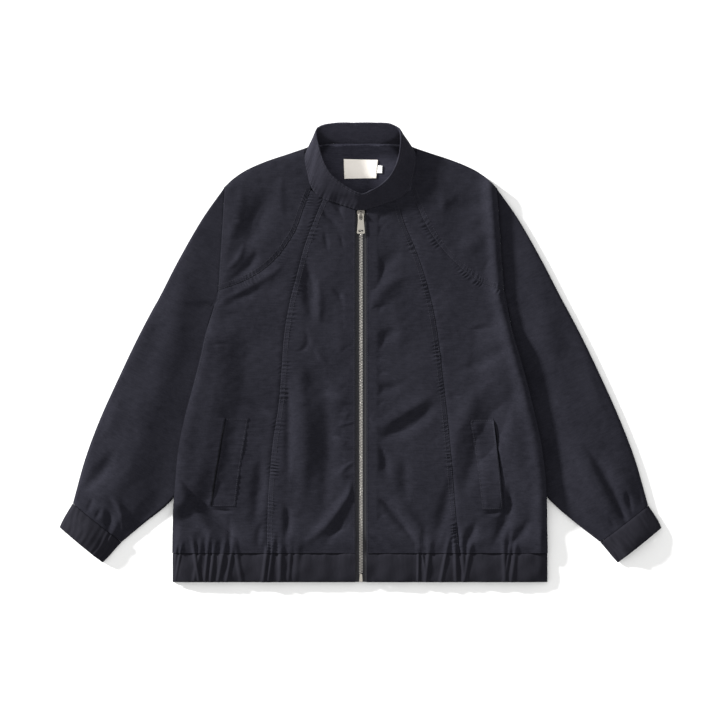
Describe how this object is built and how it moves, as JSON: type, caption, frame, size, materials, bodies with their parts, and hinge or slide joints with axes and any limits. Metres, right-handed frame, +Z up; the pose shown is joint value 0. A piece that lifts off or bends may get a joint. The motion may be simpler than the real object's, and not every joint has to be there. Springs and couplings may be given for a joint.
{
  "type": "bomber jacket",
  "caption": "Dark navy bomber jacket laid flat, front up: stand collar, full zip, shoulder yokes, slanted welt pockets, gathered hem and cuffs.",
  "frame": {"origin": "middle of the footprint, on the surface that the jacket lies on", "axes": "+X towards the viewer's right across the jacket, +Y from the hem towards the collar, +Z up from the surface"},
  "size_m": [0.9324, 0.7097, 0.0265],
  "materials": {
    "twill": "matt dark navy cotton twill",
    "label": "cream woven label",
    "tape": "dark woven zip tape",
    "nickel": "satin nickel"
  },
  "bodies": {
    "garment": {"back": "twill", "hem_back": "twill", "yoke_L": "twill", "yoke_R": "twill", "side_front_L": "twill", "side_front_R": "twill", "centre_front_L": "twill", "centre_front_R": "twill", "hem_L": "twill", "hem_R": "twill", "sleeve_L": "twill", "sleeve_R": "twill", "cuff_L": "twill", "cuff_R": "twill", "welt_L": "twill", "welt_R": "twill", "collar": "twill", "neck_label": "label", "size_tab": "label", "zip_tape_L": "tape", "zip_tape_R": "tape", "zip_chain": "nickel", "zip_box": "nickel", "slider": "nickel"},
    "pull": {"pull_tab": "nickel"}
  },
  "joints": [
    {"name": "pull_tab_hinge", "type": "hinge", "parent": "garment", "child": "pull", "pos_m": [0.0006, 0.2144, 0.0099], "axis": [-1, 0, 0], "range_deg": [0, 120]}
  ]
}
